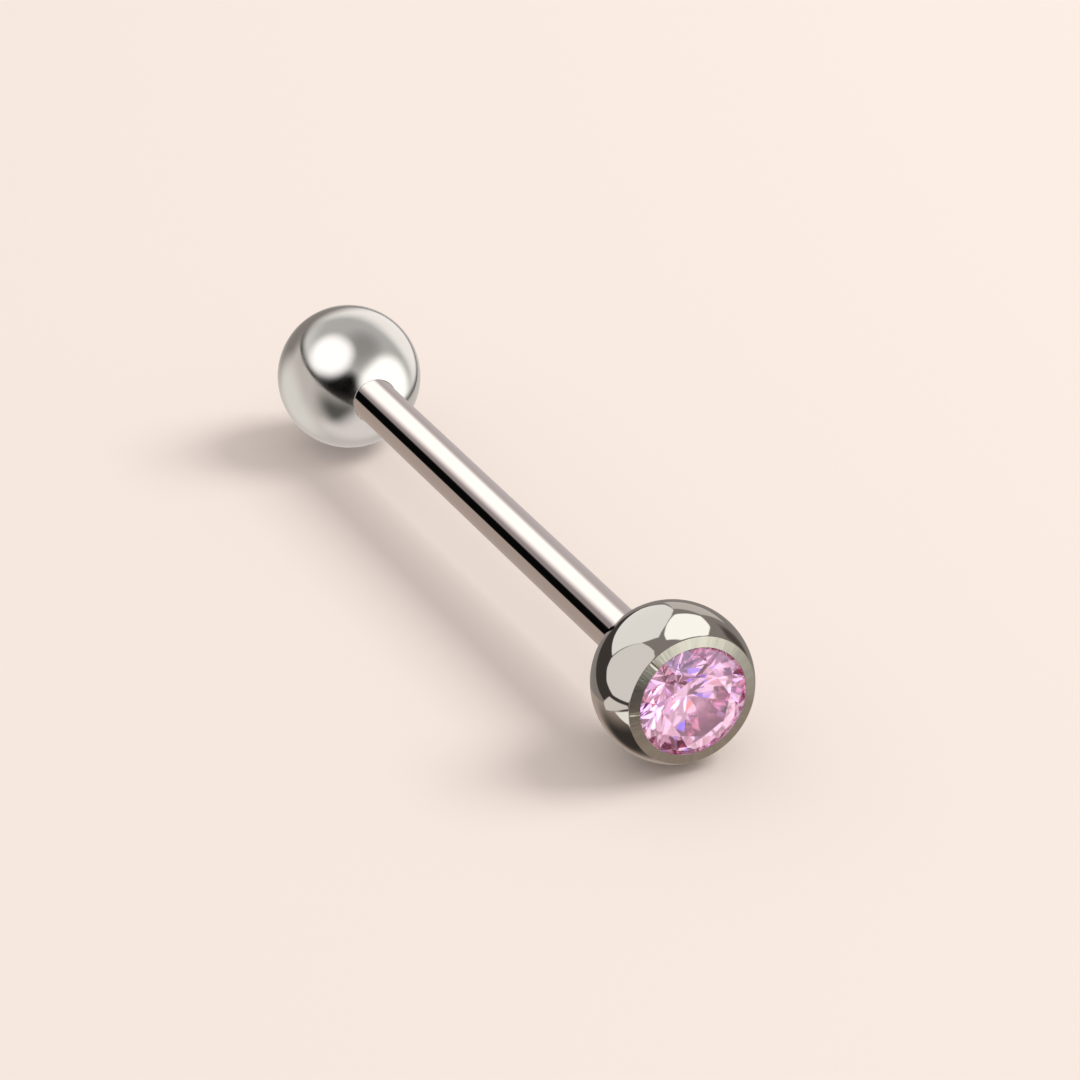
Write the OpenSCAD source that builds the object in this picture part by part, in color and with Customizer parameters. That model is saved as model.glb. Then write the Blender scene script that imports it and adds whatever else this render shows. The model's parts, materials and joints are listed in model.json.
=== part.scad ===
// Straight tongue barbell, in millimetres: a polished steel post with a ball screwed on at each end.
// One ball is plain, and the other holds a round brilliant stone in a bezel cut from the ball itself.
// It lies along X as it rests on a surface: both balls touch z = 0, and the stone faces +X.

/* [Post] */
// Length of the bar between the two shoulders that the balls tighten against
post_length = 22; // [10:0.5:38]
// Diameter of the bar
post_d = 1.6; // [1.4:0.05:2]
// Diameter of the threaded stud at each end, over its crests
stud_d = 1.2; // [1:0.05:1.35]
// Distance from one thread crest to the next
thread_pitch = 0.25; // [0.15:0.01:0.4]
// Depth of the thread, from crest to root
thread_depth = 0.13; // [0.08:0.01:0.2]

/* [Balls] */
// Diameter of both balls
ball_d = 5.25; // [4.6:0.05:7]
// Depth that the bar's shoulder sinks below the ball's surface
shoulder_sink = 0.1; // [0:0.01:0.3]

/* [Setting] */
// Height of the round cap that is cut off the ball for the stone's face
cap_height = 1.22; // [0.9:0.01:1.6]
// Width of the bezel's rim, from the edge of the ball's face to the window
rim_width = 0.36; // [0.25:0.01:0.6]
// Height that the rim rises from its outer edge to the window
rim_rise = 0.08; // [0:0.01:0.2]
// Reach of the rim's lip over the stone's edge
lip_reach = 0.07; // [0.04:0.01:0.15]
// Thickness of the lip at the window
lip_edge = 0.05; // [0.03:0.01:0.12]
// Metal left between the stone's cup and the stud's hole
web = 0.35; // [0.2:0.05:0.8]

/* [Stone] */
// Number of main facets round the stone
mains = 8; // [6:2:12]
// Width of the table, in percent of the stone's diameter
table_pct = 57; // [50:1:68]
// Height of the crown, in percent of the stone's diameter
crown_pct = 14; // [10:0.5:17]
// Thickness of the girdle where it is widest, in percent of the stone's diameter
girdle_pct = 3.5; // [3:0.5:6]
// Depth of the pavilion, in percent of the stone's diameter
pavilion_pct = 43; // [38:0.5:44]
// Reach of the star facets from the table towards the girdle, in percent
star_pct = 50; // [35:1:60]
// Reach of the lower girdle facets from the girdle towards the culet, in percent
lower_pct = 77; // [60:1:85]
// Turn of the stone in its bezel, in degrees
stone_turn = 10; // [0:1:45]

/* [Clearances] */
// Gap round the bar where it enters a ball
shoulder_gap = 0.03; // [0.01:0.01:0.08]
// Gap between the bar's shoulder and the ball's seat
seat_gap = 0.02; // [0.01:0.01:0.05]
// Gap round the stud's crests in its hole
thread_gap = 0.05; // [0.02:0.01:0.08]
// Gap past the end of the stud
end_gap = 0.1; // [0.05:0.01:0.3]
// Gap between the stone and its metal cup
stone_gap = 0.03; // [0.01:0.01:0.05]

/* [Hidden] */
$fn = 128;

post_r = post_d / 2;
stud_r = stud_d / 2;
root_r = stud_r - thread_depth;
ball_r = ball_d / 2;

// Heights along a ball's own axis, measured outward from its centre: the post comes in from below
seat_z = shoulder_sink - sqrt(pow(ball_r, 2) - pow(post_r + shoulder_gap, 2));
face_z = ball_r - cap_height;
face_r = sqrt(pow(ball_r, 2) - pow(face_z, 2));
window_r = face_r - rim_width;
window_z = face_z + rim_rise;

// The stone, with the top of its girdle at height 0
girdle_r = window_r + lip_reach;
table_r = girdle_r * table_pct / 100;
crown_h = 2 * girdle_r * crown_pct / 100;
girdle_h = 2 * girdle_r * girdle_pct / 100;
pavilion_h = 2 * girdle_r * pavilion_pct / 100;
culet_z = -girdle_h - pavilion_h;
sector = 360 / mains;
// A star's outer tip and the crown's height there, which the flat main facets fix
table_flat_r = table_r * cos(sector / 2);
star_r = table_flat_r + (girdle_r - table_flat_r) * star_pct / 100;
star_z = crown_h * (girdle_r - star_r * cos(sector / 2)) / (girdle_r - table_r);
// The inner tip that two lower girdle facets share, fixed by the mains in the same way
lower_r = girdle_r * (1 - lower_pct / 100);
lower_z = culet_z + pavilion_h * lower_r * cos(sector / 2) / girdle_r;
// Each of the 2 * mains facets beside the girdle meets it in this many short chords
girdle_steps = 4;
girdle_sides = 2 * mains * girdle_steps;

// The lip clears the crown, whose steepest rise at the girdle is the ridge up to a star's tip
lip_z = star_z * lip_reach / (girdle_r - star_r) + stone_gap;
girdle_z = window_z - lip_edge - lip_z;
cup_z = girdle_z + culet_z - stone_gap;

// The stud's hole stops short of the cup, and both studs are alike
bore_depth = cup_z - web - seat_z;
stud_length = bore_depth - end_gap + seat_gap;
thread_turns = floor(stud_length / thread_pitch);
thread_relief = stud_length - thread_turns * thread_pitch;

// The ball centres lie level with the post's middle, which is moved along X so that the whole is centred
ball_offset = post_length / 2 + seat_gap - seat_z;
stone_top = ball_offset + girdle_z + crown_h;
plain_end = ball_offset + ball_r;
post_x = (plain_end - max(stone_top, ball_offset + window_z)) / 2;

// Lays a shape made along Z onto the barbell's line, at a distance from the post's middle
module on_bar(distance, direction = 1)
    translate([post_x + direction * distance, 0, ball_r])
        rotate([0, direction * 90, 0])
            children();

// Half outline of a stud: a relief at the shoulder, then ridges for the thread. It starts inside the bar
function stud_outline() = concat(
    [[0, -root_r], [root_r, -root_r]],
    [for (turn = [0 : thread_turns - 1]) each [
        [root_r, thread_relief + turn * thread_pitch],
        [stud_r, thread_relief + (turn + 0.5) * thread_pitch]
    ]],
    [[root_r, stud_length], [0, stud_length]]
);

module stud()
    translate([0, 0, post_length / 2])
        rotate_extrude()
            polygon(stud_outline());

// Ball with the post's seat and the stud's blind hole
module drilled_ball()
    difference() {
        sphere(d = ball_d);
        translate([0, 0, seat_z - ball_r])
            cylinder(r = post_r + shoulder_gap, h = ball_r);
        translate([0, 0, seat_z - ball_r])
            cylinder(r = stud_r + thread_gap, h = ball_r + bore_depth);
    }

// Half outline of all that is cut away for the stone: the ball's cap, the window under the lip and the cup
function setting_outline() = [
    [0, 2 * ball_r],
    [2 * ball_r, 2 * ball_r],
    [2 * ball_r, face_z],
    [face_r, face_z],
    [window_r, window_z],
    [window_r, window_z - lip_edge],
    [girdle_r + stone_gap, girdle_z],
    [girdle_r + stone_gap, girdle_z - girdle_h],
    [lower_r, girdle_z + lower_z - stone_gap],
    [0, cup_z]
];

// Points of the stone
function ring_point(r, angle, z) = [r * cos(angle), r * sin(angle), z];
// Height by which a flat facet curves back where the round girdle cuts it, from its tip's radius and rise
function scallop(step, tip_r, tip_rise) =
    let (half = sector / 4, from_middle = half * (2 * (step % girdle_steps) / girdle_steps - 1))
    tip_rise * girdle_r / (girdle_r - tip_r) * (cos(from_middle) / cos(half) - 1);
function stone_points() = concat(
    [for (i = [0 : mains - 1]) ring_point(table_r, i * sector, crown_h)],
    [for (i = [0 : mains - 1]) ring_point(star_r, (i + 0.5) * sector, star_z)],
    [for (s = [0 : girdle_sides - 1])
        ring_point(girdle_r, s * 360 / girdle_sides, -scallop(s, star_r, star_z))],
    [for (s = [0 : girdle_sides - 1])
        ring_point(girdle_r, s * 360 / girdle_sides, scallop(s, lower_r, -girdle_h - lower_z) - girdle_h)],
    [for (i = [0 : mains - 1]) ring_point(lower_r, (i + 0.5) * sector, lower_z)],
    [[0, 0, culet_z]]
);

// Where each ring of points starts in that list, and the number of a point in its ring
star_first = mains;
upper_first = 2 * mains;
under_first = upper_first + girdle_sides;
lower_first = under_first + girdle_sides;
culet = lower_first + mains;
function in_ring(i) = (i + mains) % mains;
function on_girdle(s) = s % girdle_sides;
function main_step(i) = 2 * i * girdle_steps;

function crown_facets() = concat(
    [[for (i = [mains - 1 : -1 : 0]) i]],
    [for (i = [0 : mains - 1]) [i, in_ring(i + 1), star_first + i]],
    [for (i = [0 : mains - 1])
        [i, star_first + i, upper_first + main_step(i), star_first + in_ring(i - 1)]],
    [for (k = [0 : 2 * mains - 1])
        concat(star_first + floor(k / 2),
            [for (s = [girdle_steps : -1 : 0]) upper_first + on_girdle(k * girdle_steps + s)])]
);
function girdle_facets() = [
    for (s = [0 : girdle_sides - 1])
        [upper_first + s, upper_first + on_girdle(s + 1), under_first + on_girdle(s + 1), under_first + s]
];
function pavilion_facets() = concat(
    [for (k = [0 : 2 * mains - 1])
        concat(lower_first + floor(k / 2),
            [for (s = [0 : girdle_steps]) under_first + on_girdle(k * girdle_steps + s)])],
    [for (i = [0 : mains - 1])
        [culet, lower_first + in_ring(i - 1), under_first + main_step(i), lower_first + i]]
);

module post()
    color("silver")
        union() {
            on_bar(0)
                cylinder(d = post_d, h = post_length, center = true);
            for (direction = [-1, 1])
                on_bar(0, direction)
                    stud();
        }

module plain_ball()
    color("lightgray")
        on_bar(ball_offset, -1)
            drilled_ball();

module gem_ball()
    color("gainsboro")
        on_bar(ball_offset)
            difference() {
                drilled_ball();
                rotate_extrude()
                    polygon(setting_outline());
            }

module stone()
    color("orchid")
        on_bar(ball_offset + girdle_z)
            rotate([0, 0, stone_turn])
                polyhedron(
                    points = stone_points(),
                    faces = concat(crown_facets(), girdle_facets(), pavilion_facets()),
                    convexity = 2
                );

post();
plain_ball();
gem_ball();
stone();
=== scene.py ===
# %% [markdown]
# # A tongue barbell in polished steel, with a pink stone
# A straight barbell is a slim steel bar with a ball screwed on at each end. Here one ball is plain,
# and the other is cut flat to hold a round brilliant of cubic zirconia.
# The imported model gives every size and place. This script models the same pieces finely enough for
# a mirror finish, gives each its material, and lights them as jewellery is lit.

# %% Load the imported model
import json
import math

import bpy
from mathutils import Matrix, Vector


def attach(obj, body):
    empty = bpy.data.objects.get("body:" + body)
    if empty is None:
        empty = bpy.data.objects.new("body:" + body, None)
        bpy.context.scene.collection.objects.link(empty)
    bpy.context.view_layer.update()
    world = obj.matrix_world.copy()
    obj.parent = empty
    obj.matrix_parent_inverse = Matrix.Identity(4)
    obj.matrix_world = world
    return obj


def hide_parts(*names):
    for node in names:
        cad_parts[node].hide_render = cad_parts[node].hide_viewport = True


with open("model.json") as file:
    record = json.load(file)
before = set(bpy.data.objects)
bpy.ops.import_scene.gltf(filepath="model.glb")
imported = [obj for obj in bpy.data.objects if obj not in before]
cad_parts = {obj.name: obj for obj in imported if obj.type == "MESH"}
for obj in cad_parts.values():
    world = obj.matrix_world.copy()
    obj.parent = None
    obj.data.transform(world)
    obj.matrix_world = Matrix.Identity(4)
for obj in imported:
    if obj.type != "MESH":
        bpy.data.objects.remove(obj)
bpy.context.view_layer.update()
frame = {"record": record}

# %% [markdown]
# ## Sizes
# The bar's mount in the record holds three exact sizes: the bar's radius, its length, and how high its
# axis lies, which is a ball's radius. The rest are the part's own sizes, in millimetres.
# The pieces are small, and Blender's edit tools have tolerances meant for things of a metre.
# So each piece is modelled with one unit to the millimetre, and shrunk when it is finished.

# %% Sizes in millimetres
MM = 0.001
bar_mount = frame["record"]["mounts"][0]
BAR_R = bar_mount["dims"]["r_mm"]
BAR_LENGTH = bar_mount["dims"]["length_mm"]
BAR_X = bar_mount["pos_m"][0] / MM
BALL_R = bar_mount["pos_m"][2] / MM

# The studs on the bar's ends, and the holes that they screw into
CREST_R = 0.6
ROOT_R = 0.47
THREAD_PITCH = 0.25
THREAD_RELIEF = 0.236
STUD_LENGTH = 1.486
SHOULDER_SINK = 0.1
SHOULDER_GAP = 0.03
SEAT_GAP = 0.02
TAP_CREST_R = 0.71
TAP_ROOT_R = 0.63
LEAD_IN = 0.07
BORE_DEPTH = 1.566

# Heights along a ball's own axis, measured outward from its centre: the bar comes in from below
MOUTH_R = BAR_R + SHOULDER_GAP
MOUTH_Z = -math.sqrt(BALL_R**2 - MOUTH_R**2)
SEAT_Z = MOUTH_Z + SHOULDER_SINK
BALL_OFFSET = BAR_LENGTH / 2 + SEAT_GAP - SEAT_Z

# The stone's setting
CAP_HEIGHT = 1.22
RIM_WIDTH = 0.36
RIM_RISE = 0.08
LIP_REACH = 0.07
LIP_EDGE = 0.05
STONE_GAP = 0.03
FACE_Z = BALL_R - CAP_HEIGHT
FACE_R = math.sqrt(BALL_R**2 - FACE_Z**2)
WINDOW_R = FACE_R - RIM_WIDTH
WINDOW_Z = FACE_Z + RIM_RISE

# The round brilliant: 8 main facets, with the top of the girdle at height 0
MAINS = 8
SECTOR = math.tau / MAINS
GIRDLE_R = WINDOW_R + LIP_REACH
TABLE_R = 0.57 * GIRDLE_R
CROWN_H = 0.14 * 2 * GIRDLE_R
GIRDLE_H = 0.035 * 2 * GIRDLE_R
PAVILION_H = 0.43 * 2 * GIRDLE_R
CULET_Z = -GIRDLE_H - PAVILION_H
STONE_TURN = math.radians(10)
TABLE_FLAT_R = TABLE_R * math.cos(SECTOR / 2)
STAR_R = TABLE_FLAT_R + 0.5 * (GIRDLE_R - TABLE_FLAT_R)
STAR_Z = CROWN_H * (GIRDLE_R - STAR_R * math.cos(SECTOR / 2)) / (GIRDLE_R - TABLE_R)
LOWER_R = (1 - 0.77) * GIRDLE_R
LOWER_Z = CULET_Z + PAVILION_H * LOWER_R * math.cos(SECTOR / 2) / GIRDLE_R
LIP_Z = STAR_Z * LIP_REACH / (GIRDLE_R - STAR_R) + STONE_GAP
GIRDLE_Z = WINDOW_Z - LIP_EDGE - LIP_Z
print(f"ball {2 * BALL_R:.3f} mm, bar {2 * BAR_R:.2f} x {BAR_LENGTH:.1f} mm")
print(f"stone {2 * GIRDLE_R:.3f} mm")

# %% [markdown]
# ## Helpers for modelling
# An operator works on whatever is selected, so every piece starts by deselecting everything.
# A ball is turned on a lathe, and the same goes here: a ring of edges is pushed inward step by step,
# as a cutter would, and each step is one extrusion and one change of radius.


# %% Helpers for modelling
# How near to a cut a vertex counts as lying on it, in millimetres
CUT_SLACK = 1e-6
BALL_CUT_SLACK = 1e-5


def start_piece():
    """Deselects everything, so that the next primitive is alone."""
    bpy.ops.object.select_all(action="DESELECT")


def edit(mode="VERT"):
    """Opens the active object for editing with nothing selected."""
    bpy.ops.object.mode_set(mode="EDIT")
    bpy.ops.mesh.select_mode(type=mode)
    bpy.ops.mesh.select_all(action="DESELECT")


def select_where(test):
    """Selects the vertices whose place passes the test, and the edges and faces between them."""
    bpy.ops.object.mode_set(mode="OBJECT")
    mesh = bpy.context.object.data
    for vertex in mesh.vertices:
        vertex.select = test(vertex.co)
    bpy.ops.object.mode_set(mode="EDIT")
    bpy.ops.mesh.select_mode(type="VERT")


def push_ring(from_ring, to_ring):
    """Extrudes the selected ring of edges from one (radius, height) about Z to another."""
    rise = to_ring[1] - from_ring[1]
    bpy.ops.mesh.extrude_region_move(TRANSFORM_OT_translate={"value": (0, 0, rise)})
    growth = to_ring[0] / from_ring[0]
    bpy.ops.transform.resize(value=(growth, growth, 1), center_override=(0, 0, to_ring[1]))


def cut_rings(rings):
    """Pushes the selected ring through a list of (radius, height), and closes the last on the axis."""
    for from_ring, to_ring in zip(rings, rings[1:]):
        push_ring(from_ring, to_ring)
    bpy.ops.mesh.merge(type="CENTER")


def apply_modifier(piece, kind, name, **settings):
    """Adds a modifier with its settings and applies it."""
    modifier = piece.modifiers.new(name, kind)
    for key, value in settings.items():
        setattr(modifier, key, value)
    bpy.context.view_layer.objects.active = piece
    bpy.ops.object.modifier_apply(modifier=modifier.name)


def lay_on_bar(piece, distance, direction=1):
    """Moves a piece made along Z to its place on the bar's line, and brings it to metres."""
    bpy.ops.object.mode_set(mode="OBJECT")
    turn = Matrix.Rotation(math.radians(90) * direction, 4, "Y")
    move = Matrix.Translation((BAR_X + direction * distance, 0, BALL_R))
    piece.matrix_world = Matrix.Scale(MM, 4) @ move @ turn
    bpy.ops.object.select_all(action="DESELECT")
    piece.select_set(True)
    bpy.context.view_layer.objects.active = piece
    bpy.ops.object.transform_apply(location=True, rotation=True, scale=True)


# %% [markdown]
# ## The thread
# The balls screw on by a fine thread: rolled on the studs at the bar's ends, and tapped in the balls.
# A thread is a small ridge swept along a helix, which is what the Screw modifier does to a short
# zigzag of edges. The swept skin is open at both ends, so it is cut square there and filled.
# One threaded rod serves twice: slim as the stud itself, and wider as the tap that cuts the hole.

# %% Threaded rod
THREAD_STEPS = 48
THREAD_WELD = 1e-4
# One turn of the ridge: its flank up, its crest, its flank down and its root, as shares of the pitch
RIDGE = ((1, 0.38), (0, 0.12), (-1, 0.38), (0, 0.12))
# In turns: the helix starts before the rod and ends after it, so that both ends can be cut square
RUN_IN = 1.2
SPARE_TURNS = 3


def threaded_rod(root_r, crest_r, low, high):
    """A threaded rod along Z, from one height to another."""
    start_piece()
    bpy.ops.mesh.primitive_circle_add(vertices=3, radius=root_r)
    rod = bpy.context.object
    edit()
    bpy.ops.mesh.select_all(action="SELECT")
    bpy.ops.mesh.merge(type="CENTER")
    bpy.ops.transform.translate(value=(root_r, 0, low - RUN_IN * THREAD_PITCH))
    for out, share in RIDGE:
        step = (out * (crest_r - root_r), 0, share * THREAD_PITCH)
        bpy.ops.mesh.extrude_region_move(TRANSFORM_OT_translate={"value": step})
    bpy.ops.object.mode_set(mode="OBJECT")
    apply_modifier(
        rod,
        "SCREW",
        "helix",
        axis="Z",
        screw_offset=THREAD_PITCH,
        iterations=math.ceil((high - low) / THREAD_PITCH) + SPARE_TURNS,
        steps=THREAD_STEPS,
        render_steps=THREAD_STEPS,
    )
    edit()
    bpy.ops.mesh.select_all(action="SELECT")
    bpy.ops.mesh.remove_doubles(threshold=THREAD_WELD)
    for height, drop_lower in ((low, True), (high, False)):
        bpy.ops.mesh.select_all(action="SELECT")
        bpy.ops.mesh.bisect(
            plane_co=(0, 0, height),
            plane_no=(0, 0, 1),
            use_fill=True,
            clear_inner=drop_lower,
            clear_outer=not drop_lower,
            threshold=CUT_SLACK,
        )
    bpy.ops.mesh.select_all(action="SELECT")
    bpy.ops.mesh.normals_make_consistent(inside=False)
    bpy.ops.object.mode_set(mode="OBJECT")
    return rod


def combine(piece, tool, operation):
    """Joins a tool to a piece, or cuts with it, and removes the tool."""
    apply_modifier(piece, "BOOLEAN", "cut", operation=operation, object=tool, solver="EXACT")
    bpy.data.objects.remove(tool)


# %% [markdown]
# ## The balls
# Both balls start as the same blank: a polished sphere with a hole for the bar. The hole has a shallow
# seat, as wide as the bar, where the bar's shoulder stops, and a narrow bore for the stud.
# A UV sphere suits this, because its rings already lie square to the hole's axis.
# The sphere is fine, because a mirror shows every flat spot.

# %% Drilled ball
BALL_SEGMENTS = 192
# With 92 rings, neither the mouth nor the gem ball's face falls close beside a ring
BALL_RINGS = 92
EDGE_BREAK = 0.02
# The drill's point reaches this far past the bore, and a hole narrows to this before it is closed
DRILL_POINT = 0.15
CLOSING_R = 0.02


def ring_at(radius, height, slack=0.004):
    """A test for the vertices of one ring."""
    return lambda co: abs(co.z - height) < slack and abs(math.hypot(co.x, co.y) - radius) < slack


def drilled_ball(name):
    """A ball with the bar's seat and the stud's hole, opening downward."""
    start_piece()
    bpy.ops.mesh.primitive_uv_sphere_add(segments=BALL_SEGMENTS, ring_count=BALL_RINGS, radius=BALL_R)
    ball = bpy.context.object
    ball.name = ball.data.name = name
    edit()
    bpy.ops.mesh.select_all(action="SELECT")
    bpy.ops.mesh.bisect(
        plane_co=(0, 0, MOUTH_Z), plane_no=(0, 0, 1), clear_inner=True, threshold=BALL_CUT_SLACK
    )
    select_where(ring_at(MOUTH_R, MOUTH_Z))
    bore_end = SEAT_Z + BORE_DEPTH
    cut_rings(
        [
            (MOUTH_R, MOUTH_Z),
            (MOUTH_R, SEAT_Z),
            (TAP_ROOT_R + LEAD_IN, SEAT_Z),
            (TAP_ROOT_R, SEAT_Z + LEAD_IN),
            (TAP_ROOT_R, bore_end),
            (CLOSING_R, bore_end + DRILL_POINT),
        ]
    )
    bpy.ops.object.mode_set(mode="OBJECT")
    return ball


plain_ball = drilled_ball("plain_ball_turned")
print("plain ball:", len(plain_ball.data.polygons), "faces")

# %% [markdown]
# ## The gem ball
# The second blank is cut flat, and the cut is worked into a bezel: a rim that rises a little toward the
# stone, a thin lip that holds the stone down, and a cup below that follows the stone with a small gap.
# Cutting the cap with Bisect leaves one clean ring to push inward.

# %% Gem ball and its bezel
gem_ball = drilled_ball("gem_ball_turned")
edit()
bpy.ops.mesh.select_all(action="SELECT")
bpy.ops.mesh.bisect(
    plane_co=(0, 0, FACE_Z), plane_no=(0, 0, 1), clear_outer=True, threshold=BALL_CUT_SLACK
)
select_where(ring_at(FACE_R, FACE_Z))
cup_r = GIRDLE_R + STONE_GAP
cut_rings(
    [
        (FACE_R, FACE_Z),
        (WINDOW_R, WINDOW_Z),
        (WINDOW_R, WINDOW_Z - LIP_EDGE),
        (cup_r, GIRDLE_Z),
        (cup_r, GIRDLE_Z - GIRDLE_H),
        (LOWER_R, GIRDLE_Z + LOWER_Z - STONE_GAP),
        (CLOSING_R, GIRDLE_Z + CULET_Z - STONE_GAP),
    ]
)
bpy.ops.object.mode_set(mode="OBJECT")
print("gem ball:", len(gem_ball.data.polygons), "faces")

# %% [markdown]
# Real edges are never knife-sharp: polishing rounds them a little, and the round catches the light.
# A Bevel modifier limited by angle finds each turned edge, and leaves the smooth sphere alone.
# The rim is satin from the burnisher and the cup is left as milled, so each gets a slot of its own.


# %% Edges and shading of the balls
BREAK_STEPS = 3
SHARP_ANGLE = math.radians(25)
LARGE_FACE_WEIGHT = 90
# The tap is sunk a little into the bore's wall, starts just past the seat and stops short of the end
TAP_SINK = 0.01
TAP_START = SEAT_Z + 0.02
TAP_END = SEAT_Z + BORE_DEPTH - 0.1


def break_edges(piece, width):
    """Rounds the sharp edges by a small width."""
    apply_modifier(
        piece,
        "BEVEL",
        "edge break",
        width=width,
        segments=BREAK_STEPS,
        limit_method="ANGLE",
        angle_limit=SHARP_ANGLE,
    )


def polish(piece, angle=35):
    """Shades the piece smooth, apart from its sharp edges, with the large faces giving the direction."""
    start_piece()
    piece.select_set(True)
    bpy.context.view_layer.objects.active = piece
    bpy.ops.object.shade_smooth_by_angle(angle=math.radians(angle))
    apply_modifier(
        piece, "WEIGHTED_NORMAL", "large faces lead", keep_sharp=True, weight=LARGE_FACE_WEIGHT
    )


for ball in (plain_ball, gem_ball):
    break_edges(ball, EDGE_BREAK)
    tap = threaded_rod(TAP_ROOT_R - TAP_SINK, TAP_CREST_R, TAP_START, TAP_END)
    combine(ball, tap, "DIFFERENCE")
    polish(ball)

BALL_SLOT, RIM_SLOT, CUP_SLOT = 0, 1, 2
# How far a face must look outward along the ball's axis to belong to the rim, or to the cup
RIM_FACING = 0.85
CUP_FACING = 0.1
CUP_LOW = GIRDLE_Z + CULET_Z - 0.1
faces_of = [0, 0, 0]
for face in gem_ball.data.polygons:
    radius = math.hypot(face.center.x, face.center.y)
    height = face.center.z
    facing = face.normal.z
    if height > FACE_Z - EDGE_BREAK and facing > RIM_FACING and radius > WINDOW_R - EDGE_BREAK:
        face.material_index = RIM_SLOT
    elif CUP_LOW < height < WINDOW_Z - EDGE_BREAK and facing > CUP_FACING and radius < cup_r:
        face.material_index = CUP_SLOT
    else:
        face.material_index = BALL_SLOT
    faces_of[face.material_index] += 1
print("ball, rim and cup faces:", faces_of)
lay_on_bar(plain_ball, BALL_OFFSET, -1)
lay_on_bar(gem_ball, BALL_OFFSET)

# %% [markdown]
# ## The bar
# The bar is drawn rod with a stud turned on each end: a plain neck at the shoulder, then the thread,
# trimmed to a chamfer at the tip so that it starts easily in its hole.
# Booleans suit this best, because each cutter is as simple as the real lathe tool.

# %% Threaded studs
BAR_SIDES = 128
TIP_CHAMFER = 0.14
TIP_SLACK = 0.01
# The studs start this far inside the bar, so that they join it
STUD_ROOT = -0.3
# The rod that trims a stud clears its crests, and the neck is slimmer than the root and runs into the
# thread, so that no two surfaces lie on each other
CREST_CLEAR = 0.01
NECK_SINK = 0.003
NECK_OVERLAP = 0.1


def rod_between(radius, low, high, sides=64):
    """A plain round rod along Z, from one height to another."""
    start_piece()
    bpy.ops.mesh.primitive_cylinder_add(vertices=sides, radius=radius, depth=high - low)
    edit()
    bpy.ops.mesh.select_all(action="SELECT")
    bpy.ops.transform.translate(value=(0, 0, (low + high) / 2))
    bpy.ops.object.mode_set(mode="OBJECT")
    return bpy.context.object


def threaded_stud():
    """A stud along Z with its shoulder at height 0."""
    stud = threaded_rod(ROOT_R, CREST_R, THREAD_RELIEF, STUD_LENGTH)
    envelope = rod_between(CREST_R + CREST_CLEAR, STUD_ROOT, STUD_LENGTH)
    edit()
    select_where(lambda co: co.z > STUD_LENGTH - TIP_SLACK)
    bpy.ops.mesh.bevel(offset=TIP_CHAMFER, segments=1)
    bpy.ops.object.mode_set(mode="OBJECT")
    combine(stud, envelope, "INTERSECT")
    neck = rod_between(ROOT_R - NECK_SINK, STUD_ROOT, THREAD_RELIEF + NECK_OVERLAP)
    combine(stud, neck, "UNION")
    return stud


bar = rod_between(BAR_R, -BAR_LENGTH / 2, BAR_LENGTH / 2, BAR_SIDES)
bar.name = bar.data.name = "bar_turned"
break_edges(bar, EDGE_BREAK)
for half_turn in (0, math.pi):
    stud = threaded_stud()
    stud.matrix_world = Matrix.Rotation(half_turn, 4, "X") @ Matrix.Translation((0, 0, BAR_LENGTH / 2))
    combine(bar, stud, "UNION")
polish(bar, 25)
lay_on_bar(bar, 0)
print("bar:", len(bar.data.polygons), "faces")

# %% [markdown]
# ## The stone
# A cutter grinds a brilliant one flat at a time, and Bisect can do the same: each cut slices off what
# lies outside a plane and fills the flat that it leaves. A tier of facets is one plane turned round the
# stone's axis. Each plane is fixed by two points of the tier's outline, so that all facets meet.

# %% Round brilliant
GIRDLE_SIDES = 96
FACET_WELD = 0.002


def tier(steepness, outer_r, outer_z, count, offset):
    """Cuts a ring of facets that fall away by steepness from the ring at (outer_r, outer_z)."""
    up = 1 if steepness > 0 else -1
    for i in range(count):
        angle = (i + offset) * math.tau / count
        outward = Vector((math.cos(angle), math.sin(angle), 0))
        normal = outward * abs(steepness) + Vector((0, 0, up))
        point = outward * outer_r + Vector((0, 0, outer_z))
        bpy.ops.mesh.select_all(action="SELECT")
        bpy.ops.mesh.bisect(
            plane_co=point, plane_no=normal, use_fill=True, clear_outer=True, threshold=CUT_SLACK
        )


start_piece()
bpy.ops.mesh.primitive_cylinder_add(
    vertices=GIRDLE_SIDES, radius=GIRDLE_R, depth=CROWN_H - CULET_Z, location=(0, 0, 0)
)
stone = bpy.context.object
stone.name = stone.data.name = "round_brilliant"
edit()
bpy.ops.mesh.select_all(action="SELECT")
bpy.ops.transform.translate(value=(0, 0, (CROWN_H + CULET_Z) / 2))
half_step = math.cos(SECTOR / 4)
pair_r = GIRDLE_R * half_step
# Crown: mains, stars and the pairs above the girdle
tier(CROWN_H / (GIRDLE_R - TABLE_R), GIRDLE_R, 0, MAINS, 0)
tier((CROWN_H - STAR_Z) / (STAR_R - TABLE_FLAT_R), STAR_R, STAR_Z, MAINS, 0.5)
tier(STAR_Z / ((GIRDLE_R - STAR_R) * half_step), pair_r, 0, 2 * MAINS, 0.5)
# Pavilion: mains and the long pairs below the girdle
tier(-PAVILION_H / GIRDLE_R, GIRDLE_R, -GIRDLE_H, MAINS, 0)
tier((LOWER_Z + GIRDLE_H) / ((GIRDLE_R - LOWER_R) * half_step), pair_r, -GIRDLE_H, 2 * MAINS, 0.5)
bpy.ops.mesh.select_all(action="SELECT")
bpy.ops.mesh.remove_doubles(threshold=FACET_WELD)
bpy.ops.mesh.normals_make_consistent(inside=False)
bpy.ops.transform.rotate(value=-STONE_TURN, orient_axis="Z", center_override=(0, 0, 0))
bpy.ops.object.mode_set(mode="OBJECT")
lay_on_bar(stone, BALL_OFFSET + GIRDLE_Z)
print("stone:", len(stone.data.polygons), "facets")

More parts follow.
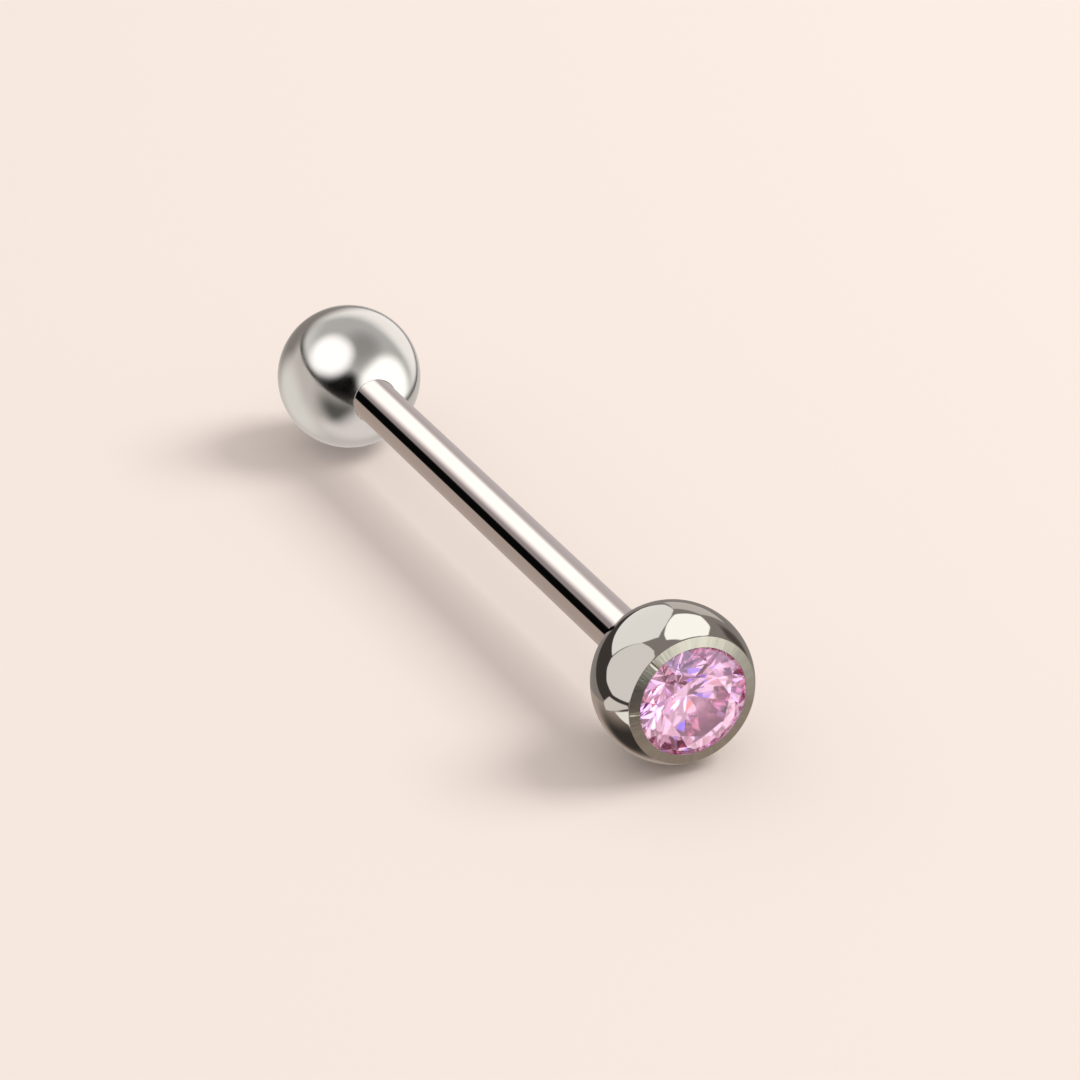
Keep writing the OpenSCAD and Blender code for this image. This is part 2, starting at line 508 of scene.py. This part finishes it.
# %% [markdown]
# ## Which piece moves with what
# The stone rides with its ball, and the two balls slide off the bar on their own bodies.
# Each piece stands for the CAD node of the same shape.

# %% Ride and replace
PIECES = (
    (bar, "bar", "post", "post_steel"),
    (plain_ball, "plain_end", "plain_ball", "ball_steel"),
    (gem_ball, "gem_end", "gem_ball", "ball_steel"),
    (stone, "gem_end", "stone", "pink_stone"),
)
for piece, body, node, slot in PIECES:
    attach(piece, body)
    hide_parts(node)
    print(piece.name, "rides on", body)


# %% [markdown]
# ## Materials
# A colour in a material is linear light, while a hex colour is what the eye sees, so one function turns
# one into the other. A node tree is easier to read when one function adds a node with all that it needs.
# Every pattern reads Object coordinates, which are metres here, so its scale comes from a real size.


# %% Helpers for materials
def linear(hex_colour):
    """A hex colour as the eye sees it, turned to the linear values that light adds up in."""
    channels = [int(hex_colour[i : i + 2], 16) / 255 for i in (1, 3, 5)]
    return (*[c / 12.92 if c <= 0.04045 else ((c + 0.055) / 1.055) ** 2.4 for c in channels], 1)


def add(tree, kind, links=(), inputs=(), **settings):
    """Adds a node, with its settings, its input values and its links, and returns it."""
    node = tree.nodes.new("ShaderNode" + kind)
    for key, value in settings.items():
        setattr(node, key, value)
    for socket, value in dict(inputs).items():
        node.inputs[socket].default_value = value
    for socket, source in dict(links).items():
        tree.links.new(source, node.inputs[socket])
    return node


def new_material(name):
    """An empty material, and the node tree to fill."""
    material = bpy.data.materials.new(name)
    material.use_nodes = True
    material.node_tree.nodes.clear()
    return material, material.node_tree


def per_mm(size):
    """The texture scale that gives features of this size, in millimetres."""
    return 1 / (size * MM)


def finish_material(tree, links, inputs, volume=None):
    """Adds the Principled shader and the output."""
    shader = add(tree, "BsdfPrincipled", links, inputs)
    output = add(tree, "OutputMaterial", {"Surface": shader.outputs["BSDF"]})
    if volume:
        tree.links.new(volume.outputs["Volume"], output.inputs["Volume"])


# %% [markdown]
# ## Polished surgical steel
# The metal is 316L steel. A ball is ground, then buffed to a mirror, which leaves two faint traces:
# the surface waves by a few thousandths of a millimetre, so reflected edges aren't ruler-straight, and
# a haze of hairlines, far finer than a pixel, so their roughness is set here and not their shape.
# The bar is drawn and buffed lengthwise, so its traces are drawn out along X.
# Steel gets its look from what it mirrors, so its own colour is only a slightly warm, darkish white.

# %% Polished steel
BUFFING_WAVE = 1.4
HAIRLINE_PATCH = 0.5


def polished_steel(name, colour, roughness, wave, stretch=1.0):
    """Buffed steel: its roughness, the height of its waves in millimetres, and their stretch along X."""
    material, tree = new_material(name)
    place = add(tree, "TexCoord").outputs["Object"]
    place = add(tree, "Mapping", {"Vector": place}, {"Scale": (1 / stretch, 1, 1)}).outputs["Vector"]
    waves = add(tree, "TexNoise", {"Vector": place}, {"Scale": per_mm(BUFFING_WAVE), "Detail": 1.0})
    bump = add(tree, "Bump", {"Height": waves.outputs["Fac"]}, {"Strength": 1.0, "Distance": wave * MM})
    haze = add(tree, "TexNoise", {"Vector": place}, {"Scale": per_mm(HAIRLINE_PATCH), "Detail": 4.0})
    rough = add(
        tree,
        "MapRange",
        {"Value": haze.outputs["Fac"]},
        {"From Min": 0.3, "From Max": 0.7, "To Min": 0.75 * roughness, "To Max": 1.3 * roughness},
    )
    finish_material(
        tree,
        {"Roughness": rough.outputs["Result"], "Normal": bump.outputs["Normal"]},
        {"Base Color": linear(colour), "Metallic": 1.0},
    )
    return material


bar.data.materials.append(polished_steel("drawn_and_buffed_316l", "#dcd6d2", 0.06, 0.004, 12))
plain_ball.data.materials.append(polished_steel("soft_buffed_316l", "#d8d6d3", 0.13, 0.003))
gem_ball.data.materials.append(polished_steel("mirror_buffed_316l", "#d6d4cf", 0.05, 0.006))
print("steel on", [piece.name for piece in (bar, plain_ball, gem_ball)])

# %% [markdown]
# ## The burnished rim
# A burnisher is pressed round the bezel to close it over the stone. It leaves the rim satin rather than
# bright, with short marks that run outward, and here and there a nick where the tool was set down.
# The marks follow the ring, so the pattern needs a place that goes round it: the direction from the
# stone's axis, with the distance from the axis shrunk so that each mark is drawn out across the rim.

# %% Satin rim
TOOL_MARK = 0.09
MARK_DRAW_OUT = 0.2
NICK_SPACING = 0.55
WEAR_PATCH = 0.3
# Depths in millimetres
MARK_DEPTH = 0.0035
NICK_DEPTH = 0.02


def satin_rim(name, colour, worn_colour):
    """Steel closed with a burnisher, with marks that run outward from the stone's axis."""
    material, tree = new_material(name)
    place = add(tree, "TexCoord").outputs["Object"]
    place = add(tree, "VectorMath", {0: place}, {1: (0, 0, BALL_R * MM)}, operation="SUBTRACT").outputs[0]
    place = add(tree, "VectorMath", {0: place}, {1: (0, 1, 1)}, operation="MULTIPLY").outputs[0]
    shrunk = add(tree, "VectorMath", {0: place}, {"Scale": MARK_DRAW_OUT}, operation="SCALE").outputs[0]
    way_out = add(tree, "VectorMath", {0: place}, operation="NORMALIZE").outputs[0]
    links = {0: way_out, 2: shrunk}
    ring = {1: (FACE_R * MM,) * 3}
    round_rim = add(tree, "VectorMath", links, ring, operation="MULTIPLY_ADD").outputs[0]
    marks = add(tree, "TexNoise", {"Vector": round_rim}, {"Scale": per_mm(TOOL_MARK), "Detail": 3.0})
    depth = {"Strength": 1.0, "Distance": MARK_DEPTH * MM}
    bump = add(tree, "Bump", {"Height": marks.outputs["Fac"]}, depth)
    nicks = add(tree, "TexVoronoi", {"Vector": round_rim}, {"Scale": per_mm(NICK_SPACING)})
    hollow = add(
        tree, "MapRange", {"Value": nicks.outputs["Distance"]}, {"From Min": 0.05, "From Max": 0.16}
    )
    nicked = add(
        tree,
        "Bump",
        {"Height": hollow.outputs["Result"], "Normal": bump.outputs["Normal"]},
        {"Strength": 1.0, "Distance": NICK_DEPTH * MM},
    )
    wear = add(tree, "TexNoise", {"Vector": round_rim}, {"Scale": per_mm(WEAR_PATCH), "Detail": 2.0})
    tint = add(
        tree,
        "Mix",
        {0: wear.outputs["Fac"]},
        {6: linear(colour), 7: linear(worn_colour)},
        data_type="RGBA",
    )
    finish_material(
        tree,
        {"Base Color": tint.outputs[2], "Normal": nicked.outputs["Normal"]},
        {"Metallic": 1.0, "Roughness": 0.27},
    )
    return material


gem_ball.data.materials.append(satin_rim("burnished_316l_rim", "#d2d1c8", "#aba99c"))


# %% [markdown]
# ## The cup
# The cup under the stone is milled and left bright and unpolished. It isn't seen itself, but it throws
# the light that leaks out of the stone's back into it again, which is why a set stone never looks black.


# %% Bright cup
def bright_cup(name, colour):
    """Bare milled steel, bright and a little rough."""
    material, tree = new_material(name)
    finish_material(tree, {}, {"Base Color": linear(colour), "Metallic": 1.0, "Roughness": 0.25})
    return material


gem_ball.data.materials.append(bright_cup("milled_bright_cup", "#f4f0ee"))

# %% [markdown]
# ## Pink cubic zirconia
# Cubic zirconia bends light more than glass does, with an IOR of 2.17, so most light that enters through
# the crown is thrown back by the pavilion. The pink is in the stone and not on it: the longer the way
# through, the deeper the colour, so it's an absorption in the volume, which falls off with distance.


# %% Pink cubic zirconia
def cut_zirconia(name, body_colour, depth):
    """Clear and polished, and tinted by its body to body_colour over a way of depth millimetres."""
    material, tree = new_material(name)
    absorb = add(tree, "VolumeAbsorption", {}, {"Color": linear(body_colour), "Density": per_mm(depth)})
    finish_material(
        tree,
        {},
        {
            "Base Color": linear("#fff4fa"),
            "Roughness": 0.05,
            "IOR": 2.17,
            "Transmission Weight": 1.0,
        },
        absorb,
    )
    return material


stone.data.materials.append(cut_zirconia("pink_cubic_zirconia", "#ffb4da", 7.7))
print("stone:", stone.data.materials[0].name)

# %% [markdown]
# ## The camera
# The picture was taken from close by, so the near ball looks larger than the far one, although they are
# equal. Lens and distance decide that together: the camera stands where the two balls come out in the
# picture's proportions, and the lens is then chosen to fill the frame as the picture does.
# The barbell leans in the picture, but lies on both its balls here, so the camera took over its tilt.

# %% Camera
CAMERA_AZIMUTH = math.radians(65.238)
CAMERA_ELEVATION = math.radians(25.604)
CAMERA_PLACE = Vector((122.655, -54.853, 66.0)) * MM
LENS_MM = 144.22
SENSOR_WIDTH_MM = 36
camera = bpy.data.objects.new("camera", bpy.data.cameras.new("camera"))
bpy.context.collection.objects.link(camera)
camera.data.sensor_width = SENSOR_WIDTH_MM
camera.data.lens = LENS_MM
camera.data.clip_start = 0.01
camera.location = CAMERA_PLACE
camera.rotation_euler = (math.radians(90) - CAMERA_ELEVATION, 0, CAMERA_AZIMUTH)
bpy.context.scene.camera = camera
print("camera is", round(CAMERA_PLACE.length / MM), "mm from the barbell")

# %% [markdown]
# ## The floor
# A plain pale board, matt so that it takes a soft shadow and shows no second image of the jewel.
# It is far larger than the view, so no edge or horizon shows from any side.

# %% Floor
FLOOR_SIDE = 6.0
start_piece()
bpy.ops.mesh.primitive_plane_add(size=FLOOR_SIDE)
floor = bpy.context.object
floor.name = "floor"
floor_paint, tree = new_material("pale_matt_board")
shader = add(tree, "BsdfDiffuse", {}, {"Color": linear("#f4ebe6")})
add(tree, "OutputMaterial", {"Surface": shader.outputs[0]})
floor.data.materials.append(floor_paint)

# %% [markdown]
# ## The studios
# A mirror shows nothing but its surroundings, so polished metal looks like what stands round it:
# white cards, black flags, and the table that it lies on. A product picture is put together from shots
# that each have their own set-up, and light linking does the same: each piece sits in a studio of its
# own, a wide dome whose light reaches that piece only, and which the camera doesn't see.
# Directions are given as a view's are: azimuth 0 stands in front, at -Y, and 90 at +X.


# %% Painting a studio
def toward(azimuth, elevation):
    """The direction of a view's azimuth and elevation, in degrees."""
    a, e = math.radians(azimuth), math.radians(elevation)
    return Vector((math.sin(a) * math.cos(e), -math.cos(a) * math.cos(e), math.sin(e)))


def light(strength, hex_colour):
    """A light's colour, times its strength."""
    return (*[strength * c for c in linear(hex_colour)[:3]], 1)


def calculate(tree, operation, a, b):
    """A Math node between a socket and another socket or a number."""
    links, values = ({0: a, 1: b}, {}) if isinstance(b, bpy.types.NodeSocket) else ({0: a}, {1: b})
    return add(tree, "Math", links, values, operation=operation).outputs[0]


def soft_step(tree, value, low, high):
    """Goes smoothly from 0 at low to 1 at high."""
    values = {"From Min": low, "From Max": high}
    step = add(tree, "MapRange", {"Value": value}, values, interpolation_type="SMOOTHSTEP")
    return step.outputs["Result"]


def along(tree, direction, axis):
    """How far the direction goes along an axis."""
    return add(tree, "VectorMath", {0: direction}, {1: axis}, operation="DOT_PRODUCT").outputs["Value"]


def card(tree, direction, azimuth, elevation, half_width, half_height, corner, soft, roll):
    """Where a card with round corners stands. Its sizes are for a distance of 1 from the set."""
    forward = toward(azimuth, elevation)
    level = forward.cross(Vector((0, 0, 1))).normalized()
    right = Matrix.Rotation(math.radians(roll), 3, forward) @ level
    ahead = along(tree, direction, forward)
    sides = [along(tree, direction, axis) for axis in (right, right.cross(forward))]
    across = [calculate(tree, "DIVIDE", side, ahead) for side in sides]
    place = add(tree, "CombineXYZ", {0: across[0], 1: across[1]}).outputs[0]
    place = add(tree, "VectorMath", {0: place}, operation="ABSOLUTE").outputs[0]
    flat = (half_width - corner, half_height - corner, 0)
    place = add(tree, "VectorMath", {0: place}, {1: flat}, operation="SUBTRACT").outputs[0]
    place = add(tree, "VectorMath", {0: place}, {1: (0, 0, 0)}, operation="MAXIMUM").outputs[0]
    past = add(tree, "VectorMath", {0: place}, operation="LENGTH").outputs["Value"]
    edge = soft_step(tree, past, corner + soft / 2, corner - soft / 2)
    return calculate(tree, "MULTIPLY", edge, calculate(tree, "GREATER_THAN", ahead, 0.0))


def panel(tree, direction, corners, soft):
    """Where a softbox stands, given by the directions of its corners."""
    points = [toward(*corner) for corner in corners]
    middle = sum(points, Vector())
    mask = None
    for one, other in zip(points, points[1:] + points[:1]):
        inward = one.cross(other).normalized()
        inward *= math.copysign(1, inward.dot(middle))
        edge = soft_step(tree, along(tree, direction, inward), -soft / 2, soft / 2)
        mask = edge if mask is None else calculate(tree, "MULTIPLY", mask, edge)
    return mask


def below(tree, direction, azimuth, elevation, level, soft):
    """All that lies lower than a level, where up is the direction given."""
    height = along(tree, direction, toward(azimuth, elevation))
    edge = math.sin(math.radians(level))
    return soft_step(tree, height, edge + soft, edge)


def paint(tree, direction, layers):
    """Lays cards and grounds over each other, and returns the colour of what the direction meets."""
    view = None
    for shape, *place, strength, colour in layers:
        if shape is None:
            view = add(tree, "RGB").outputs[0]
            view.default_value = light(strength, colour)
            continue
        mask = shape(tree, direction, *place)
        over = {7: light(strength, colour)}
        view = add(tree, "Mix", {0: mask, 6: view}, over, data_type="RGBA").outputs[2]
    return view


def studio(piece, radius, layers):
    """A dome round the whole set whose light reaches one piece only."""
    start_piece()
    bpy.ops.mesh.primitive_uv_sphere_add(segments=48, ring_count=24, radius=radius)
    dome = bpy.context.object
    dome.name = "studio_of_" + piece.name
    material, tree = new_material(dome.name)
    place = add(tree, "TexCoord").outputs["Object"]
    direction = add(tree, "VectorMath", {0: place}, operation="NORMALIZE")
    glow = add(tree, "Emission", {"Color": paint(tree, direction.outputs[0], layers)})
    clear = add(tree, "BsdfTransparent")
    both = add(tree, "AddShader", {0: glow.outputs[0], 1: clear.outputs[0]})
    add(tree, "OutputMaterial", {"Surface": both.outputs[0]})
    dome.data.materials.append(material)
    dome.visible_camera = dome.visible_diffuse = dome.visible_shadow = False
    lit = bpy.data.collections.new("lit_by_" + dome.name)
    lit.objects.link(piece)
    dome.light_linking.receiver_collection = lit
    print(dome.name, "has", len(layers), "layers")


# %% [markdown]
# ## Four sets of cards
# Each layer gives a shape, its place, its strength and its colour, and later layers cover earlier ones.
# A curved mirror squeezes its whole surroundings together towards its outline, so a card that looks
# small on a ball is large round it. The cards were placed by following the view's rays: each edge in
# the metal was mirrored at the ball to the direction that it must come from.
# The plain ball shows a white sky with two soft lamps, and a pale ground whose far edge is dark.

# %% Studio of the plain ball
LAMP_BESIDE = [(88, -40), (85, 20), (112, 38), (150, 36), (172, 8), (178, -40)]
SHADE_UNDER = [(20, -4), (90, -22), (76, -44), (34, -66), (12, -40)]
studio(
    plain_ball,
    1.0,
    [
        (None, 0.64, "#f4f3f0"),
        (below, 136, 59, 0, 0.40, 0.94, "#f4f2ef"),
        (card, -128, 8, 1.1, 0.7, 0.7, 0.7, 0, 1.2, "#fffaf6"),
        (card, 112, 66, 0.6, 0.45, 0.45, 0.7, 0, 0.40, "#f4f2ee"),
        (card, 39, -2, 1.10, 0.60, 0.4, 0.60, 12, 0.003, "#ffffff"),
        (card, 19, 52, 0.66, 0.60, 0.58, 0.52, 4, 1.6, "#fffbfa"),
        (panel, LAMP_BESIDE, 0.36, 1.6, "#fffefa"),
        (below, 136, 59, -9.5, 0.20, 0.02, "#302824"),
        (below, 136, 59, -9.5, 0.012, 0.76, "#f6eee8"),
        (card, -84, 6, 0.6, 0.4, 0.4, 0.6, 0, 0.34, "#f0e4dc"),
        (card, -42, -30, 0.5, 0.65, 0.5, 0.7, 0, 1.0, "#f8f4ee"),
        (card, 92, -68, 0.9, 0.6, 0.5, 0.7, 0, 1.0, "#f8f0ee"),
        (panel, SHADE_UNDER, 0.64, 0.14, "#f0ece4"),
    ],
)

# %% [markdown]
# The bar is a rod, and a rod mirrors a whole ring of directions in one line across it. Its bands are
# a pale lamp overhead, a black flag low beside it, and the pale ground. Cards beyond its far end make
# the bands for this view, and the others give it the same bands from behind and from the sides.

# %% Studio of the bar
studio(
    bar,
    1.1,
    [
        (None, 0.45, "#f0e4dc"),
        (card, 0, 60, 1.0, 0.40, 0.2, 0.3, 0, 1.2, "#fff8f6"),
        (card, 180, 60, 1.0, 0.40, 0.2, 0.3, 0, 1.2, "#fff8f6"),
        (card, 0, 6, 1.0, 0.16, 0.05, 0.1, 0, 0.01, "#ffffff"),
        (card, 180, 6, 1.0, 0.16, 0.05, 0.1, 0, 0.01, "#ffffff"),
        (card, 120, 4, 0.5, 0.21, 0.04, 0.07, 0, 0.01, "#ffffff"),
        (card, 60, 4, 0.5, 0.21, 0.04, 0.07, 0, 0.01, "#ffffff"),
        (card, 90, 42, 0.6, 0.45, 0.3, 0.5, 0, 1.3, "#fff8f6"),
        (card, -66, 26, 0.50, 0.40, 0.05, 0.10, 0, 0.40, "#f6e8ea"),
        (card, -60, 3.5, 0.5, 0.21, 0.04, 0.07, 0, 0.003, "#ffffff"),
        (card, -93, 40, 0.38, 0.45, 0.25, 0.4, 0, 1.55, "#fffaf8"),
        (below, 0, 90, -9, 0.05, 0.52, "#f8e4d8"),
        (card, -137, 8, 0.38, 0.9, 0.15, 0.28, 0, 0.66, "#f2e8e8"),
    ],
)

# %% [markdown]
# The gem ball is the brightest mirror and shows the room most clearly: large windows with dark bars
# between them, the board that it lies on, and what stands in front of its flat rim.

# %% Studio of the gem ball
LEFT_SLIT = [(-113, 4), (-116, 30), (-138, 27), (-142, 4)]
LEFT_BAR = [(-150, -10), (-150, 20), (-165, 20), (-165, -10)]
TOP_WINDOW = [(-119, 45), (-140, 31), (-158, 36), (172, 50), (150, 75), (-10, 82), (-60, 78), (-100, 66)]
WINDOW_FRAME = [(-108, 4), (-44, -26), (3, -26), (12, 30), (-45, 35)]
HIGH_WINDOW = [
    (-49, 13),
    (-104, 5),
    (-112, 14),
    (-117, 34),
    (-114, 50),
    (-98, 66),
    (-40, 73),
    (-33, 61),
    (-34, 52),
]
LOW_WINDOW = [
    (-48, 11),
    (-46, 2),
    (-39, -7),
    (-24, -14),
    (2, -13),
    (25, 0),
    (25, 50),
    (6, 61),
    (-13, 60),
    (-33, 53),
]
BOARD = [(-47, -27), (-31, -18), (0, -17.5), (2, -20.5), (-47, -33)]
BOARD_EDGE = [(-25, -31), (1, -24), (14, -24), (14, -50), (-12, -40)]
studio(
    gem_ball,
    1.2,
    [
        (None, 0.285, "#fff2ea"),
        (card, 115, -25, 1.1, 1.0, 0.4, 0.3, 0, 0.62, "#fff8f0"),
        (card, 84, -30, 0.60, 0.52, 0.25, 0.3, 0, 0.01, "#fff2ea"),
        (card, 114, 6, 0.45, 0.26, 0.2, 0.3, 0, 1.9, "#fffcf6"),
        (panel, LEFT_SLIT, 0.03, 0.66, "#fff4ee"),
        (panel, LEFT_BAR, 0.15, 0.10, "#ffe8dc"),
        (panel, TOP_WINDOW, 0.03, 1.4, "#fffdf8"),
        (panel, WINDOW_FRAME, 0.03, 0.06, "#ffeee4"),
        (panel, HIGH_WINDOW, 0.015, 1.04, "#fffcf8"),
        (panel, LOW_WINDOW, 0.015, 0.90, "#fff9f5"),
        (below, 0, 90, -29, 0.03, 0.46, "#ffe8da"),
        (card, -20, -62, 0.8, 0.42, 0.4, 0.6, 0, 0.05, "#ffe8dc"),
        (panel, BOARD, 0.02, 0.85, "#fff6f0"),
        (panel, BOARD_EDGE, 0.02, 1.1, "#fffcf6"),
    ],
)

# %% [markdown]
# A cut stone throws each small part of its surroundings to a facet of its own. An even pink would look
# like plastic, so small cards of different strength make neighbouring facets light and dark. A real
# stone also splits white light into colours: one blue-violet and one orange card stand in for that.

# %% Studio of the stone
studio(
    stone,
    1.3,
    [
        (None, 0.21, "#ffd8e8"),
        (card, 90, 10, 1.2, 0.9, 0.5, 0.8, 0, 0.60, "#ffeef6"),
        (card, 108, -20, 0.40, 0.34, 0.15, 0.25, 0, 1.25, "#f2eaf6"),
        (card, 150, -28, 0.35, 0.55, 0.15, 0.25, 0, 2.1, "#fff0f8"),
        (card, 106, 46, 0.26, 0.22, 0.12, 0.2, 0, 3.0, "#d0d2ff"),
        (card, 140, 45, 0.26, 0.22, 0.12, 0.2, 0, 1.2, "#e4d8ff"),
        (card, 165, 15, 0.30, 0.30, 0.12, 0.2, 0, 1.8, "#f0dcff"),
        (card, 78, 18, 0.16, 0.16, 0.08, 0.15, 20, 1.2, "#fff2fa"),
        (card, 42, 8, 0.18, 0.18, 0.08, 0.15, -10, 1.4, "#ffeef8"),
        (card, 62, 52, 0.14, 0.14, 0.08, 0.15, 0, 1.1, "#ffffff"),
        (card, 62, -12, 0.20, 0.26, 0.05, 0.05, 0, 0.09, "#ff6090"),
        (card, 38, -20, 0.14, 0.20, 0.05, 0.05, 0, 0.10, "#ff80a0"),
        (card, 60, -52, 0.50, 0.30, 0.15, 0.25, 0, 1.45, "#ffe4ee"),
        (card, 165, -60, 0.50, 0.35, 0.15, 0.25, 0, 1.7, "#ffe4ee"),
        (card, 130, 18, 0.16, 0.16, 0.08, 0.15, 0, 1.6, "#fffaff"),
        (card, 70, 4, 0.11, 0.11, 0.08, 0.16, 0, 1.5, "#8478ff"),
        (card, 98, 24, 0.08, 0.08, 0.06, 0.12, 0, 1.6, "#ff9a74"),
    ],
)

# %% [markdown]
# ## The light of the room
# The floor's matt paint is lit evenly from all round, and the camera sees a plain backdrop. Mirrors and
# the stone see their studios and nothing else, so the world is black for them. The two things that
# would show where the picture shows none are hidden from mirrors: the floor, because each studio has
# its own ground, and the plain ball, so that the bar's bands run right up to it.

# %% World
FILL_STRENGTH = 0.70
world = bpy.data.worlds.new("even_light")
bpy.context.scene.world = world
world.use_nodes = True
tree = world.node_tree
tree.nodes.clear()
path = add(tree, "LightPath").outputs
mirrored = calculate(tree, "MAXIMUM", path["Is Glossy Ray"], path["Is Transmission Ray"])
room = {6: light(FILL_STRENGTH, "#fff8f4"), 7: (0, 0, 0, 1)}
fill = add(tree, "Mix", {0: mirrored}, room, data_type="RGBA")
seen = add(
    tree, "Mix", {0: path["Is Camera Ray"], 6: fill.outputs[2]}, {7: linear("#f7ece3")}, data_type="RGBA"
)
background = add(tree, "Background", {"Color": seen.outputs[2]})
add(tree, "OutputWorld", {"Surface": background.outputs["Background"]})
floor.visible_glossy = False
plain_ball.visible_glossy = False
floor.visible_transmission = False

# %% [markdown]
# ## The key light
# One large soft box high on the picture's right gives the floor its soft shadow to the left. It is near
# and broad, so the shadow is firm under the balls and fades quickly. No piece mirrors it.

# %% Key light
KEY_WAY = toward(170, 45)
KEY_DISTANCE = 0.6
KEY_SIZE = 0.3
KEY_POWER = 1.9
key = bpy.data.objects.new("key_light", bpy.data.lights.new("key_light", "AREA"))
bpy.context.collection.objects.link(key)
key.data.size = KEY_SIZE
key.data.energy = KEY_POWER
key.data.color = linear("#fffaf4")[:3]
key.location = KEY_DISTANCE * KEY_WAY
key.rotation_euler = KEY_WAY.to_track_quat("Z", "Y").to_euler()
key.visible_glossy = False
key.visible_transmission = False
lit_floor = bpy.data.collections.new("lit_by_key")
lit_floor.objects.link(floor)
key.light_linking.receiver_collection = lit_floor

# %% [markdown]
# ## How far light is followed
# Light goes round many times between a stone's facets before it comes out. If it is given up too early,
# those facets turn black, so more bounces are allowed than is usual. The Standard view keeps the
# whites of polished metal white.

# %% Bounces and view
BOUNCES = 24
scene = bpy.context.scene
scene.view_settings.view_transform = "Standard"
scene.cycles.max_bounces = BOUNCES
scene.cycles.glossy_bounces = BOUNCES
scene.cycles.transmission_bounces = BOUNCES
print("light is followed for", BOUNCES, "bounces")
